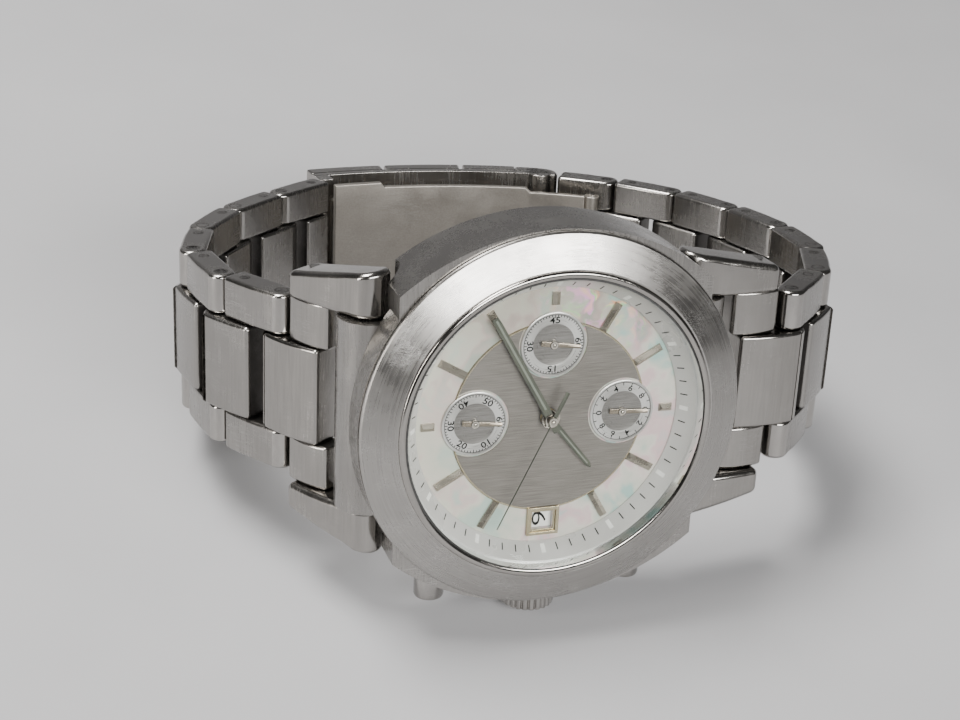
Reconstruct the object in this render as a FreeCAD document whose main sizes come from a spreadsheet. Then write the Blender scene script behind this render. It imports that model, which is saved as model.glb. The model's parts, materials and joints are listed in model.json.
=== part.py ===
import FreeCAD, Part
import Sketcher
import math
import os
import re

# Chronograph wristwatch on a closed steel bracelet, standing on its crown and on the bracelet's edge.
# Modelling axes: +X to twelve o'clock, +Y to nine o'clock, +Z out of the dial, origin on the dial.
# The finished watch is then leaned back, so that +Z points up from the surface that it stands on.

DIMENSIONS = {
    "lean_angle": 13.7,
    # case
    "case_radius": 19.1, "case_top": 1.2, "case_floor": -6.0, "disc_floor": -2.0, "bore_radius": 14.9,
    "side_half": 15.4, "flank_radius": 24.0, "flank_offset": 4.9, "tongue_half": 9.7,
    "tongue_nose": 3.2, "lug_reach": 16.4, "lug_level": -5.2, "lug_relief": 2.6,
    # stack above and below the dial
    "bezel_radius": 19.0, "rim_radius": 15.6, "bezel_rise": 1.7, "crystal_radius": 14.7,
    "crystal_floor": 1.8, "crystal_thick": 1.4, "dial_thick": 0.4, "flange_inner": 13.2,
    "flange_height": 1.75, "stack_radius": 14.8, "disc_radius": 9.65, "disc_thick": 0.15,
    "subdial_offset": 7.45, "subdial_radius": 3.25, "subdial_thick": 0.2,
    "date_offset": 11.0, "date_wide": 2.2, "date_tall": 1.9, "frame_border": 0.55,
    "back_radius": 15.9, "back_thick": 1.2, "plug_radius": 14.7, "plug_height": 0.6,
    "movement_radius": 13.3, "movement_top": -0.75, "movement_floor": -4.8, "holder_inner": 13.4,
    # controls
    "control_level": -3.0, "crown_radius": 2.7, "crown_near": 19.55, "crown_tip": 21.4,
    "stem_radius": 0.55, "tube_bore": 0.62, "tube_radius": 1.1, "pusher_offset": 10.4,
    "pusher_radius": 1.5, "pusher_near": 16.9, "pusher_tip": 19.6, "pusher_well": 15.6,
    # bracelet
    "first_pitch": 11.3, "pitch": 8.5, "link_nose": 1.5, "centre_nose": 1.8, "centre_top": 1.95,
    "centre_start": 3.4, "outer_gap": 1.65, "pin_radius": 0.6, "pin_play": 0.05, "side_play": 0.05,
    "fixed_pin_at": 5.1, "arm_inner": 9.75, "arm_near": 14.6, "arm_far": 12.4, "arm_length": 8.6,
    "block_half": 9.7, "block_start": 4.2, "block_gap": 2.0, "first_centre_half": 5.0,
    "first_centre_start": 5.2, "arm_pin_at": 6.9, "link_half": 9.25, "link_taper": 0.18,
    "centre_half": 4.9, "centre_taper": 0.1,
    # folding clasp, on arcs about one centre
    "clasp_x": -2.45, "clasp_depth": -3.1, "cover_outer": 58.0, "cover_seat": 55.9, "cover_inner": 54.9,
    "cover_half": 8.0, "cover_left": -7.7, "cover_nose": 2.3, "hinge_reach": 53.7, "hinge_left": -7.0,
    "knuckle": 1.0, "middle_outer": 52.4, "middle_inner": 51.6, "middle_half": 5.5,
    "inner_outer": 51.3, "inner_inner": 50.5, "inner_half": 7.2, "inner_left": -6.6, "fold_angle": 29.0,
    "fold_reach": 51.35, "fold_knuckle": 0.9, "fold_half": 3.0, "clasp_pin": 0.4,
    "tail_knuckle": 0.55, "tail_left": -3.5,
}
# Headings of the links' outward run, in degrees down from the line of the dial, from the case on.
HEADINGS = {
    "six": (55, 57, 80, 106, 125, 139, 145),
    "twelve": (3, 44, 67, 90, 106, 117, 133, 146),
}

os.makedirs("parts", exist_ok=True)
doc = FreeCAD.newDocument("Watch")
sheet = doc.addObject("Spreadsheet::Sheet", "Dims")
for row, (alias, number) in enumerate(DIMENSIONS.items(), start=1):
    sheet.set(f"A{row}", alias)
    sheet.set(f"B{row}", str(number))
    sheet.setAlias(f"B{row}", alias)
doc.recompute()
size = {alias: float(sheet.get(alias)) for alias in DIMENSIONS}
nodes = []

X_AXIS = FreeCAD.Vector(1, 0, 0)
Y_AXIS = FreeCAD.Vector(0, 1, 0)
Z_AXIS = FreeCAD.Vector(0, 0, 1)


def cells(expression):
    """Turn plain alias names into references to the sheet."""
    return re.sub(r"[a-z_]+[a-z_0-9]*", lambda name: "Dims." + name.group(0), str(expression))


def bind(item, **expressions):
    for name, expression in expressions.items():
        item.setExpression(name.replace("__", "."), cells(expression))
    return item


def box(x, y, z):
    """Box between pairs of expressions along each axis."""
    item = doc.addObject("Part::Box", "Block")
    bind(item, Length=f"({x[1]})-({x[0]})", Width=f"({y[1]})-({y[0]})", Height=f"({z[1]})-({z[0]})")
    bind(item, Placement__Base__x=x[0], Placement__Base__y=y[0], Placement__Base__z=z[0])
    return item


def rod(radius, length, at=("0", "0", "0"), along=Z_AXIS):
    """Cylinder that starts at a point and runs along an axis."""
    item = doc.addObject("Part::Cylinder", "Rod")
    item.Placement = FreeCAD.Placement(FreeCAD.Vector(), FreeCAD.Rotation(Z_AXIS, along))
    bind(item, Radius=radius, Height=length)
    bind(item, Placement__Base__x=at[0], Placement__Base__y=at[1], Placement__Base__z=at[2])
    return item


def pair(maker, near, far):
    """The same piece on both sides of the middle, between two half-widths along Z."""
    return [maker((near, far)), maker((f"-({far})", f"-({near})"))]


def fuse(*items):
    item = doc.addObject("Part::MultiFuse", "Join")
    item.Shapes = list(items)
    return item


def cut(base, *tools):
    item = doc.addObject("Part::Cut", "Cut")
    item.Base = base
    item.Tool = tools[0] if len(tools) == 1 else fuse(*tools)
    return item


def common(first, second):
    item = doc.addObject("Part::MultiCommon", "Common")
    item.Shapes = [first, second]
    return item


def node(label, *items, place=FreeCAD.Placement()):
    """Name a sub-part: one solid, or a group of separate solids."""
    item = doc.addObject("Part::Compound", "Node")
    item.Label = label
    item.Links = list(items)
    item.Placement = place
    nodes.append(item)
    return item


def turned(label, floor, outline):
    """Turned ring or disc: its outline is in radius and in height above the floor."""
    body = doc.addObject("PartDesign::Body", "Turned")
    body.Label = label
    plane = next(item for item in body.Origin.OriginFeatures if item.Role == "XZ_Plane")
    sketch = body.newObject("Sketcher::SketchObject", "Outline")
    sketch.AttachmentSupport = [(plane, "")]
    sketch.MapMode = "FlatFace"
    count = len(outline)
    guesses = [FreeCAD.Vector(20 - index * 0.1, index * 0.1, 0) for index in range(count)]
    for index in range(count):
        sketch.addGeometry(Part.LineSegment(guesses[index], guesses[(index + 1) % count]), False)
    for index in range(count):
        sketch.addConstraint(Sketcher.Constraint("Coincident", index, 2, (index + 1) % count, 1))
    for index, (radius, height) in enumerate(outline):
        for kind, number, line in (("DistanceX", radius, -2), ("DistanceY", height, -1)):
            if number == "0":
                sketch.addConstraint(Sketcher.Constraint("PointOnObject", index, 1, line))
                continue
            place = sketch.addConstraint(Sketcher.Constraint(kind, -1, 1, index, 1, 1.0 + index))
            sketch.setExpression(f"Constraints[{place}]", cells(number))
    turning = body.newObject("PartDesign::Revolution", "Turning")
    turning.Profile = sketch
    turning.ReferenceAxis = (sketch, ["V_Axis"])
    turning.Angle = 360
    bind(body, Placement__Base__z=floor)
    return body


def ring(inner, outer, floor, top):
    height = f"({top})-({floor})"
    return cut(rod(outer, height, ("0", "0", floor)), rod(inner, height, ("0", "0", floor)))


# ---- case, crystal and dial ----

def make_case():
    span = ("case_floor", "case_top")
    height = "case_top-case_floor"
    disc = rod("case_radius", "case_top-disc_floor", ("0", "0", "disc_floor"))
    flanks = common(rod("flank_radius", height, ("0", "-flank_offset", "case_floor")),
                    rod("flank_radius", height, ("0", "flank_offset", "case_floor")))
    block = common(flanks, box(("-side_half", "side_half"), ("-20", "20"), span))
    reliefs = []
    tongues = []
    pin_holes = []
    for side in ("", "-"):
        reach = f"{side}lug_reach"
        for low in ("-20", "tongue_half"):
            reliefs.append(rod("lug_relief", "20-tongue_half", (reach, low, "lug_level"), Y_AXIS))
        tongues.append(rod("tongue_nose", "2*tongue_half", (reach, "-tongue_half", "lug_level"), Y_AXIS))
        pin_holes.append(rod("pin_radius+0.1+pin_play", "40", (reach, "-20", "lug_level"), Y_AXIS))
    bridge = box(("-lug_reach", "lug_reach"), ("-tongue_half", "tongue_half"), ("case_floor", "disc_floor"))
    level = box(("-25", "25"), ("-20", "20"), span)
    shell = fuse(disc, cut(block, *reliefs), common(fuse(bridge, *tongues), level))
    wells = [rod("tube_radius", "10", ("0", "-24", "control_level"), Y_AXIS)]
    for side in ("", "-"):
        axis_x = f"{side}pusher_offset"
        wells.append(rod("pusher_radius+0.2", "24-pusher_well", (axis_x, "-24", "control_level"),
                         Y_AXIS))
        wells.append(rod("0.9", "14", (axis_x, "-24", "control_level"), Y_AXIS))
        wells.append(rod("1.35", "6", (axis_x, "-11.2", "control_level"), Y_AXIS))
    bore = rod("bore_radius", "20", ("0", "0", "-10"))
    groove = ring("15.1", "15.6", "case_floor", "case_floor+0.4")
    node("case_body", cut(shell, bore, groove, *wells, *pin_holes))
    node("case_back_gasket", ring("15.15", "15.55", "case_floor+0.02", "case_floor+0.38"))


def make_turned_parts():
    nodes.append(turned("bezel", "case_top", [
        ("bore_radius", "0"), ("bezel_radius-0.1", "0"), ("bezel_radius", "0.15"),
        ("bezel_radius", "0.4"), ("bezel_radius-0.15", "0.55"), ("rim_radius+0.05", "bezel_rise-0.1"),
        ("rim_radius", "bezel_rise"), ("rim_radius-0.15", "bezel_rise+0.15"),
        ("bore_radius+0.1", "bezel_rise+0.15"),
        ("bore_radius", "bezel_rise+0.05")]))
    nodes.append(turned("crystal", "crystal_floor", [
        ("0", "0"), ("crystal_radius", "0"), ("crystal_radius", "crystal_thick-0.2"),
        ("crystal_radius-0.3", "crystal_thick"), ("0", "crystal_thick")]))
    nodes.append(turned("crystal_gasket", "crystal_floor", [
        ("crystal_radius", "0"), ("bore_radius", "0"), ("bore_radius", "1.0"),
        ("crystal_radius", "1.0")]))
    nodes.append(turned("flange_ring", "0.01", [
        ("flange_inner", "0"), ("stack_radius", "0"), ("stack_radius", "flange_height"),
        ("stack_radius-0.25", "flange_height"), ("flange_inner", "0.15")]))
    nodes.append(turned("case_back", "case_floor-back_thick", [
        ("0", "0"), ("back_radius-1.2", "0"), ("back_radius", "0.7"), ("back_radius", "back_thick"),
        ("plug_radius", "back_thick"), ("plug_radius", "back_thick+plug_height"),
        ("plug_radius-0.8", "back_thick+plug_height"), ("plug_radius-0.8", "back_thick-0.3"),
        ("0", "back_thick-0.3")]))


SUBDIALS = {
    "twelve": ("subdial_offset", "0"), "nine": ("0", "subdial_offset"), "six": ("-subdial_offset", "0"),
}


def make_dial():
    staff_holes = [rod("0.9", "4", ("0", "0", "-2"))]
    staff_holes += [rod("0.28", "4", (x, y, "-2")) for x, y in SUBDIALS.values()]
    window = box(("-date_wide/2", "date_wide/2"),
                 ("-date_offset-date_tall/2", "-date_offset+date_tall/2"), ("-2", "2"))
    plate = rod("stack_radius", "dial_thick", ("0", "0", "-dial_thick"))
    node("dial_plate", cut(plate, window, *staff_holes))
    notches = [rod("subdial_radius+0.2", "1", (x, y, "-0.5")) for x, y in SUBDIALS.values()]
    centre = rod("disc_radius", "disc_thick")
    notches.append(box(("-2", "2"), ("-date_offset", "-date_offset+date_tall/2+frame_border+0.05"),
                       ("-1", "1")))
    node("dial_centre_disc", cut(centre, rod("0.9", "4", ("0", "0", "-2")), *notches))
    discs = []
    for x, y in SUBDIALS.values():
        disc = rod("subdial_radius", "subdial_thick", (x, y, "0"))
        discs.append(cut(disc, rod("0.28", "4", (x, y, "-2"))))
    node("subdial_plates", *discs)
    border = box(("-date_wide/2-frame_border", "date_wide/2+frame_border"),
                 ("-date_offset-date_tall/2-frame_border", "-date_offset+date_tall/2+frame_border"),
                 ("0", "0.4"))
    opening = box(("-date_wide/2", "date_wide/2"),
                  ("-date_offset-date_tall/2", "-date_offset+date_tall/2"), ("-1", "1"))
    node("date_frame", cut(border, opening))
    node("date_disc", ring("9.3", "12.4", "-dial_thick-0.25", "-dial_thick-0.1"))


def make_markers():
    markers = []
    for hour in range(1, 13):
        if hour == 3:
            continue
        short = hour in (6, 9, 12)
        reach, length = (12.05, 1.3) if short else (11.3, 3.0)
        marker = doc.addObject("Part::Box", "Marker")
        marker.Length = length
        marker.Width = 0.75
        marker.Height = 0.45
        turn = FreeCAD.Rotation(Z_AXIS, -30.0 * hour)
        corner = FreeCAD.Vector(reach - length / 2, -0.375, 0)
        marker.Placement = FreeCAD.Placement(turn.multVec(corner), turn)
        markers.append(marker)
    node("hour_markers", *markers)


def make_hand(label, centre, level, length, width, tail, clock_angle, staff, bore=None, foot=-0.65):
    """Flat tapered hand on its own staff or tube."""
    top = level + 0.14
    start = Part.makePolygon([FreeCAD.Vector(x, y, level) for x, y in (
        (-tail, -0.35 * width), (0, -0.5 * width), (length * 0.75, -0.5 * width), (length, 0),
        (length * 0.75, 0.5 * width), (0, 0.5 * width), (-tail, 0.35 * width), (-tail, -0.35 * width))])
    blade = doc.addObject("Part::Feature", "Blade")
    blade.Shape = Part.Face(start).extrude(FreeCAD.Vector(0, 0, top - level))
    barrel = rod(staff, f"{top}-({foot})", ("0", "0", f"{foot}"))
    hub = rod(f"{staff}+0.35", f"{top}-({level})", ("0", "0", f"{level}"))
    whole = fuse(blade, hub, barrel)
    if bore:
        whole = cut(whole, rod(bore, "6", ("0", "0", "-3")))
    turn = FreeCAD.Rotation(Z_AXIS, -clock_angle)
    node(label, whole, place=FreeCAD.Placement(FreeCAD.Vector(centre[0], centre[1], 0), turn))


def make_hands():
    offset = size["subdial_offset"]
    make_hand("hour_hand", (0, 0), 0.62, 7.0, 1.0, 1.4, 50.8, staff="0.75", bore="0.52")
    make_hand("minute_hand", (0, 0), 0.95, 12.4, 0.95, 1.6, 240.0, staff="0.42", bore="0.27")
    make_hand("chrono_seconds_hand", (0, 0), 1.3, 12.0, 0.3, 3.2, 115.0, staff="0.17")
    make_hand("minute_counter_hand", (0, offset), 0.28, 2.7, 0.34, 0.7, 8.0, staff="0.15")
    make_hand("small_seconds_hand", (-offset, 0), 0.28, 2.7, 0.34, 0.7, 6.0, staff="0.15")
    make_hand("fraction_hand", (offset, 0), 0.28, 2.7, 0.34, 0.7, 4.0, staff="0.15")


def make_movement():
    body = rod("movement_radius", "movement_top-movement_floor", ("0", "0", "movement_floor"))
    cell_seat = rod("4.8", "2.2", ("-5", "5", "movement_floor-0.1"))
    stem_way = rod("0.75", "7", ("0", "-14", "control_level"), Y_AXIS)
    lever_way = box(("0.9", "3.7"), ("-11.4", "-8.2"), ("-3.5", "-2.6"))
    slot = box(("0.3", "1.2"), ("-11.4", "-8.6"), ("-3.3", "-2.7"))
    node("movement_module", cut(body, cell_seat, stem_way, lever_way, slot))
    node("battery", rod("4.7", "2.0", ("-5", "5", "movement_floor")))
    holder = ring("holder_inner", "stack_radius", "movement_floor", "-dial_thick-0.02")
    ways = [rod("1.2", "9", ("0", "-19", "control_level"), Y_AXIS)]
    for side in ("", "-"):
        ways.append(rod("1.35", "9", (f"{side}pusher_offset", "-15", "control_level"), Y_AXIS))
    node("movement_holder", cut(holder, *ways))


# ---- crown and pushers ----

def make_controls():
    crown = rod("crown_radius", "crown_tip-crown_near", ("0", "-crown_tip", "control_level"), Y_AXIS)
    notches = []
    for step in range(24):
        angle = math.radians(15 * step)
        reach = size["crown_radius"] + 0.12
        x, z = reach * math.cos(angle), reach * math.sin(angle)
        notches.append(rod("0.28", "crown_tip-crown_near-0.45",
                           (f"{x:.4f}", "-crown_tip+0.25", f"control_level+({z:.4f})"), Y_AXIS))
    node("crown", cut(crown, *notches))
    stem = rod("stem_radius", "crown_near-9.3", ("0", "-crown_near", "control_level"), Y_AXIS)
    node("winding_stem", stem)
    tube = rod("tube_radius", "4", ("0", "-19", "control_level"), Y_AXIS)
    node("crown_tube", cut(tube, rod("tube_bore", "6", ("0", "-20", "control_level"), Y_AXIS)))
    lever = box(("0.62", "3.3"), ("-10.3", "-9.9"), ("-3.25", "-2.75"))
    node("setting_lever", fuse(lever, rod("0.3", "0.5", ("3.0", "-9.8", "-3.25"))))
    tubes = []
    coils = []
    for name, side in (("pusher_two", ""), ("pusher_four", "-")):
        axis_x = f"{side}pusher_offset"
        cap = rod("pusher_radius", "pusher_tip-pusher_near",
                  (axis_x, "-pusher_tip", "control_level"), Y_AXIS)
        stalk = rod("0.5", "pusher_near-9.7", (axis_x, "-pusher_near", "control_level"), Y_AXIS)
        node(name, fuse(cap, stalk))
        clip = rod("1.1", "0.2", (axis_x, "-11.0", "control_level"), Y_AXIS)
        node(name + "_clip", cut(clip, rod("0.5", "1", (axis_x, "-11.4", "control_level"), Y_AXIS)))
        sleeve = rod("0.9", "pusher_well-11.2", (axis_x, "-pusher_well", "control_level"), Y_AXIS)
        tubes.append(cut(sleeve, rod("0.56", "9", (axis_x, "-19", "control_level"), Y_AXIS)))
        for reach in (15.74, 15.96):
            coil = doc.addObject("Part::Torus", "Coil")
            coil.Radius1 = 0.95
            coil.Radius2 = 0.1
            coil.Placement = FreeCAD.Placement(FreeCAD.Vector(0, -reach, 0),
                                               FreeCAD.Rotation(Z_AXIS, Y_AXIS))
            bind(coil, Placement__Base__x=axis_x, Placement__Base__z="control_level")
            coils.append(coil)
    node("pusher_tubes", *tubes)
    node("pusher_springs", *coils)


# ---- bracelet ----

def link_place(side, x, z, heading):
    """Link axes: X away from the case, Y outward, Z across the bracelet."""
    sign = 1 if side == "twelve" else -1
    angle = math.radians(heading)
    away = FreeCAD.Vector(sign * math.cos(angle), 0, -math.sin(angle))
    outward = FreeCAD.Vector(sign * math.sin(angle), 0, math.cos(angle))
    turn = FreeCAD.Rotation(away, outward, away.cross(outward), "XYZ")
    return FreeCAD.Placement(FreeCAD.Vector(x, 0, z), turn)


def chain(side):
    """Pivot and heading of each link, from the case on, and the last pivot."""
    sign = 1 if side == "twelve" else -1
    x, z = sign * size["lug_reach"], size["lug_level"]
    stations = []
    for index, heading in enumerate(HEADINGS[side]):
        stations.append((x, z, heading))
        length = size["first_pitch"] if index == 0 else size["pitch"]
        x += sign * length * math.cos(math.radians(heading))
        z -= length * math.sin(math.radians(heading))
    return stations, (x, z)


def across(radius, half, at):
    return rod(radius, f"2*({half})", (at, "0", f"-({half})"))


def make_end_link(side, place):
    nose = "pin_radius+0.1"

    def arm(span):
        body = fuse(box(("0", "arm_length"), ("-1.6", "2.4"), span),
                    rod("2.0", f"({span[1]})-({span[0]})", ("0", "0.4", span[0])))
        wedge = doc.addObject("Part::Wedge", "Wedge")
        low, high = (("arm_inner", "arm_near"), ("arm_inner", "arm_far"))
        if span[0].startswith("-"):
            low, high = (("-arm_near", "-arm_inner"), ("-arm_far", "-arm_inner"))
        bind(wedge, Ymin="-2.2", Ymax="arm_length", Xmin="-3", Xmax="3", X2min="-3", X2max="3",
             Zmin=low[0], Zmax=low[1], Z2min=high[0], Z2max=high[1])
        wedge.Placement = FreeCAD.Placement(FreeCAD.Vector(),
                                            FreeCAD.Rotation(-Y_AXIS, X_AXIS, Z_AXIS, "XYZ"))
        return common(body, wedge)

    arms = fuse(*pair(arm, "arm_inner", "arm_near"))
    pins = [across(nose, "arm_near-0.2", "0"), across("pin_radius", "arm_far-0.4", "arm_pin_at")]
    tools = [across(nose, "20", "0"), across("pin_radius", "20", "arm_pin_at")]
    node(f"lug_arms_{side}", cut(arms, *tools), place=place)

    def outer(span):
        return box(("block_start", "first_pitch-block_gap"), ("-link_nose", "link_nose"), span)

    outers = pair(outer, "first_centre_half+side_play", "block_half")
    middle = fuse(box(("first_centre_start", "first_pitch"), ("-link_nose", "centre_top"),
                      ("-first_centre_half", "first_centre_half")),
                  across("centre_nose", "first_centre_half", "first_pitch"))
    holes = [across("pin_radius", "20", "arm_pin_at"), across("pin_radius+pin_play", "20", "first_pitch")]
    node(f"end_link_{side}", cut(fuse(*outers, middle), *holes), *pins, place=place)


def make_link(side, number, place, last):
    """Two outer pieces, a raised centre piece, the pin that fixes them and the pivot pin."""
    half = f"link_half-link_taper*{number - 2}"
    inner = f"centre_half-centre_taper*{number - 2}"
    # the piece before has the wider centre, which turns between this link's outer pieces
    mouth = "first_centre_half" if number == 2 else f"centre_half-centre_taper*{number - 3}"
    end = "pitch-outer_gap"
    if last and side == "twelve":
        end = "pitch-cover_nose-0.3"
    outers = []
    for span in ((f"{mouth}+side_play", half), (f"-({half})", f"-({mouth})-side_play")):
        outers.append(fuse(box(("0", end), ("-link_nose", "link_nose"), span),
                           rod("link_nose", f"({span[1]})-({span[0]})", ("0", "0", span[0]))))
    middle = box(("centre_start", end if last and side == "six" else "pitch"),
                 ("-link_nose", "centre_top"), (f"-({inner})", inner))
    pins = [across("pin_radius", half, "0"), across("pin_radius", f"{half}-0.1", "fixed_pin_at")]
    holes = [across("pin_radius", "20", "0"), across("pin_radius", "20", "fixed_pin_at")]
    if not (last and side == "six"):
        middle = fuse(middle, across("centre_nose", inner, "pitch"))
        holes.append(across("pin_radius+pin_play", "20", "pitch"))
    node(f"link_{side}_{number}", cut(fuse(*outers, middle), *holes), *pins, place=place)


def make_bracelet():
    for side in ("six", "twelve"):
        stations, end = chain(side)
        for number, (x, z, heading) in enumerate(stations, start=1):
            place = link_place(side, x, z, heading)
            if number == 1:
                make_end_link(side, place)
            else:
                make_link(side, number, place, last=number == len(stations))


# ---- folding clasp ----

def clasp_point(reach, angle):
    turn = math.radians(angle)
    return (size["clasp_x"] + reach * math.sin(turn), size["clasp_depth"] - reach * math.cos(turn))


def sector(inner, outer, low, high, half):
    """Curved plate about the clasp's centre, between two angles in degrees."""
    item = doc.addObject("Part::Cylinder", "Sector")
    turn = math.radians(low)
    start = FreeCAD.Vector(math.sin(turn), 0, -math.cos(turn))
    onward = FreeCAD.Vector(math.cos(turn), 0, math.sin(turn))
    item.Placement = FreeCAD.Placement(FreeCAD.Vector(),
                                       FreeCAD.Rotation(start, onward, -Y_AXIS, "XYZ"))
    item.Angle = high - low
    bind(item, Radius=outer, Height=f"2*({half})")
    bind(item, Placement__Base__x="clasp_x", Placement__Base__y=half, Placement__Base__z="clasp_depth")
    hollow = rod(inner, f"2*({half})+2", ("clasp_x", f"-({half})-1", "clasp_depth"), Y_AXIS)
    return cut(item, hollow)


def barrel(radius, point, low, high):
    """Cylinder across the clasp between two places along Y."""
    return rod(radius, f"({high})-({low})", (f"{point[0]:.4f}", low, f"{point[1]:.4f}"), Y_AXIS)


def make_clasp():
    end = chain("twelve")[1]
    end_angle = math.degrees(math.atan2(end[0] - size["clasp_x"], size["clasp_depth"] - end[1]))
    hinge = clasp_point(size["hinge_reach"], size["hinge_left"])
    fold = clasp_point(size["fold_reach"], size["fold_angle"])
    tail = clasp_point(size["inner_inner"] + 0.4, size["tail_left"])
    left = size["cover_left"]
    mouth = "centre_half-centre_taper*6+0.1"
    notch = barrel("cover_nose-0.15", end, f"-({mouth})", mouth)
    way = barrel("cover_nose+2", end, f"-({mouth})", mouth)
    right_of_end = box((f"{end[0]:.4f}", f"{end[0]:.4f}+6"), (f"-({mouth})", mouth),
                       (f"{end[1]:.4f}-4", f"{end[1]:.4f}+4"))
    clearances = [notch, common(way, right_of_end)]
    pin_ways = [barrel("0.5", end, "-9", "9"), barrel("clasp_pin", hinge, "-9", "9")]

    def lugs(radius, point, near, far):
        return [barrel(radius, point, near, far), barrel(radius, point, f"-({far})", f"-({near})")]

    plate = sector("cover_inner", "cover_seat", left, end_angle, "cover_half")
    arms = cut(sector("hinge_reach", "cover_inner+0.1", left, left + 2.0, "cover_half"),
               box(("-20", "0"), ("-middle_half-0.1", "middle_half+0.1"), ("-70", "-40")))
    nose = lugs("1.5", end, mouth, "cover_half")
    body = fuse(plate, arms, *nose, *lugs("knuckle", hinge, "middle_half+0.1", "cover_half"))
    node("clasp_cover", cut(body, *clearances, *pin_ways))
    step = (end_angle - left) / 3
    links = []
    for index in range(3):
        low, high = left + index * step, left + (index + 1) * step - (0.4 if index < 2 else 0)
        link = sector("cover_seat", "cover_outer", low, high, "cover_half")
        if index == 2:
            cap = cut(fuse(*lugs("cover_nose", end, mouth, "cover_half")),
                      rod("cover_seat", "30", ("clasp_x", "-15", "clasp_depth"), Y_AXIS))
            link = cut(fuse(link, cap), *clearances, *nose)
        links.append(link)
    node("clasp_cover_links", *links)
    node("spring_bar", barrel("0.5", end, "-cover_half+0.1", "cover_half-0.1"))

    middle = fuse(sector("middle_inner", "middle_outer", -5.7, 28.4, "middle_half"),
                  sector("middle_outer-0.1", "hinge_reach", -6.4, -5.2, "middle_half"),
                  barrel("knuckle", hinge, "-middle_half", "middle_half"),
                  barrel("fold_knuckle", fold, "-fold_half", "fold_half"))
    node("clasp_middle_blade", cut(middle, *lugs("fold_knuckle+0.25", fold, "fold_half", "8"),
                                   barrel("clasp_pin+0.05", hinge, "-9", "9"),
                                   barrel("clasp_pin+0.05", fold, "-9", "9")))
    inner = fuse(sector("inner_inner", "inner_outer", size["inner_left"], 28.2, "inner_half"),
                 barrel("tail_knuckle", tail, "-4", "4"),
                 *lugs("fold_knuckle", fold, "fold_half+0.1", "inner_half"))
    slot = barrel("fold_knuckle+0.25", fold, "-fold_half-0.1", "fold_half+0.1")
    node("clasp_inner_blade", cut(inner, slot, barrel("clasp_pin", fold, "-9", "9"),
                                  barrel("clasp_pin", tail, "-9", "9")))
    node("cover_hinge_pin", barrel("clasp_pin", hinge, "-cover_half+0.1", "cover_half-0.1"))
    node("fold_hinge_pin", barrel("clasp_pin", fold, "-inner_half+0.1", "inner_half-0.1"))
    node("six_end_pin", barrel("clasp_pin", tail, "-3.95", "3.95"))


def stand_up():
    """Lean the watch back on its crown and centre it over the surface that it stands on."""
    lean = FreeCAD.Placement(FreeCAD.Vector(), FreeCAD.Rotation(X_AXIS, 90 - size["lean_angle"]))
    doc.recompute()
    for item in nodes:
        item.Placement = lean.multiply(item.Placement)
    for item in nodes:
        for name, _ in list(item.ExpressionEngine):
            item.setExpression(name, None)
    doc.recompute()
    whole = FreeCAD.BoundBox()
    for item in nodes:
        whole.add(item.Shape.optimalBoundingBox(False, False))
    shift = FreeCAD.Vector(-whole.Center.x, -whole.Center.y, -whole.ZMin)
    for item in nodes:
        item.Placement = FreeCAD.Placement(shift, FreeCAD.Rotation()).multiply(item.Placement)
    doc.recompute()
    print("origin of the dial", [round(number, 4) for number in shift])
    print("overall size", round(whole.XLength, 3), round(whole.YLength, 3), round(whole.ZLength, 3))


def check_and_export():
    for item in doc.Objects:
        if "Invalid" in item.State or "Error" in item.State:
            raise RuntimeError(f"{item.Label} failed: {item.State}")
    for item in nodes:
        shape = item.Shape
        if shape.isNull() or not shape.isValid() or not shape.Solids:
            raise RuntimeError(f"{item.Label} has no valid solid")
        shape.exportStep(f"parts/{item.Label}.step")
    print(len(nodes), "nodes,", sum(len(item.Shape.Solids) for item in nodes), "solids")


make_case()
make_turned_parts()
make_dial()
make_markers()
make_hands()
make_movement()
make_controls()
make_bracelet()
make_clasp()
stand_up()
check_and_export()
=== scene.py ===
import json
import math

import bmesh
import bpy
from mathutils import Matrix, Vector


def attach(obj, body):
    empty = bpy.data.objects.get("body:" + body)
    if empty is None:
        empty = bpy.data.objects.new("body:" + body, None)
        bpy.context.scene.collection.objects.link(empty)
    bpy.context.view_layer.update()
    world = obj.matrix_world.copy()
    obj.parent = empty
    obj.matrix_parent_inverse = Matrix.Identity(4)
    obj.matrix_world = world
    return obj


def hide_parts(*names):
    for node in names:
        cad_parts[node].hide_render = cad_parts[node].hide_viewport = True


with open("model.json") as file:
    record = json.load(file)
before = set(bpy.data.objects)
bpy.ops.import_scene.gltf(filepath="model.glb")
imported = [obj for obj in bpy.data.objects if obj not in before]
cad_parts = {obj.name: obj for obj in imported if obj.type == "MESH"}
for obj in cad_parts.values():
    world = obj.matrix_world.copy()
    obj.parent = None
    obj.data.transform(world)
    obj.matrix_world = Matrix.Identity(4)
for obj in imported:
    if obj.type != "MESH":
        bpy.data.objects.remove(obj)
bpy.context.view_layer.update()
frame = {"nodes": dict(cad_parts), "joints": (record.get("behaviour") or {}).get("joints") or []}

MM = 0.001
joints = {joint["name"]: joint for joint in frame["joints"]}

# ---------------------------------------------------------------- places, all read from the frame
# Dial axes in millimetres: X to twelve o'clock, Y to nine o'clock, Z out of the dial.
dial_centre = Vector(joints["minute_turn"]["pos_m"])
dial_out = -Vector(joints["minute_turn"]["axis"]).normalized()
to_twelve = Vector((1, 0, 0))
to_nine = dial_out.cross(to_twelve).normalized()


def axes_matrix(x_axis, y_axis, z_axis, origin):
    """Local millimetres to metres in the frame."""
    columns = Matrix((x_axis, y_axis, z_axis)).transposed().to_4x4()
    return Matrix.Translation(origin) @ columns @ Matrix.Scale(MM, 4)


DIAL = axes_matrix(to_twelve, to_nine, dial_out, dial_centre)


def pivot(name):
    return Vector(joints[name]["pos_m"])


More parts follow.
